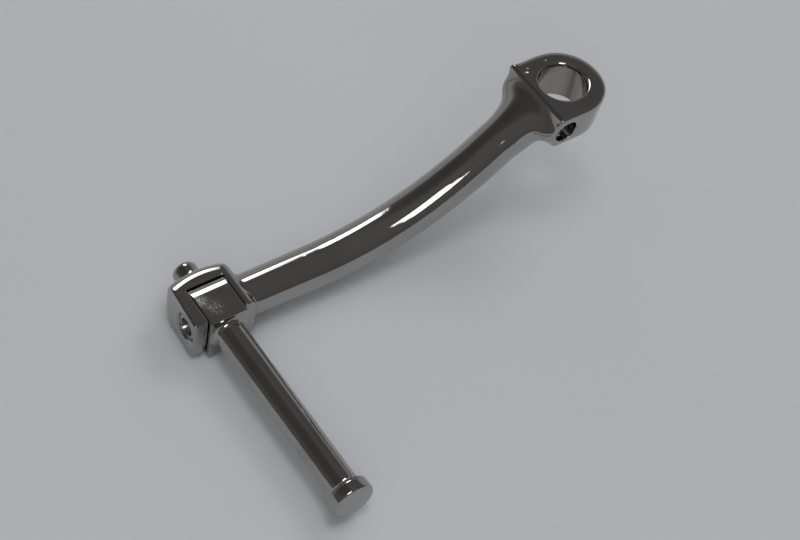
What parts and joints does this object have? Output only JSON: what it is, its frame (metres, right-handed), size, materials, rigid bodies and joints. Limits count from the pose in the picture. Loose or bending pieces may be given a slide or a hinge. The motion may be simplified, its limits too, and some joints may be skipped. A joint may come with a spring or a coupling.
{
  "type": "kickstart lever",
  "caption": "Polished forged kickstart lever: cotter-clamped shaft boss, arm curving down to a slotted yoke, and a folding pedal that hinges on a pin and swings up square to the arm.",
  "frame": {"origin": "middle of the shaft bore, halfway up the boss", "axes": "+Z along the shaft bore, on the side the pedal opens to; +X from the pedal end to the boss; the folded pedal points along -Y"},
  "size_m": [0.2138, 0.1384, 0.0755],
  "materials": {
    "polished_forging": "mirror polished, a few casting pits",
    "polished_pedal": "mirror polished, scuffed on the tongue",
    "pin_steel": "turned",
    "ball_steel": "polished",
    "spring_steel": "drawn wire"
  },
  "bodies": {
    "lever": {"lever_arm": "polished_forging", "pivot_pin": "pin_steel", "detent_spring": "spring_steel"},
    "pedal": {"pedal": "polished_pedal"},
    "detent": {"detent_ball": "ball_steel"}
  },
  "joints": [
    {"name": "pedal_fold", "type": "hinge", "parent": "lever", "child": "pedal", "pos_m": [-0.1776, 0, -0.05095], "axis": [-1, 0, 0], "range_deg": [0, 90]},
    {"name": "ball_press", "type": "slide", "parent": "lever", "child": "detent", "axis": [0, 1, 0], "range_m": [0, 0.0008], "stiffness_N_per_m": 1200, "springref_m": -0.006, "deforming": ["detent_spring"]}
  ]
}
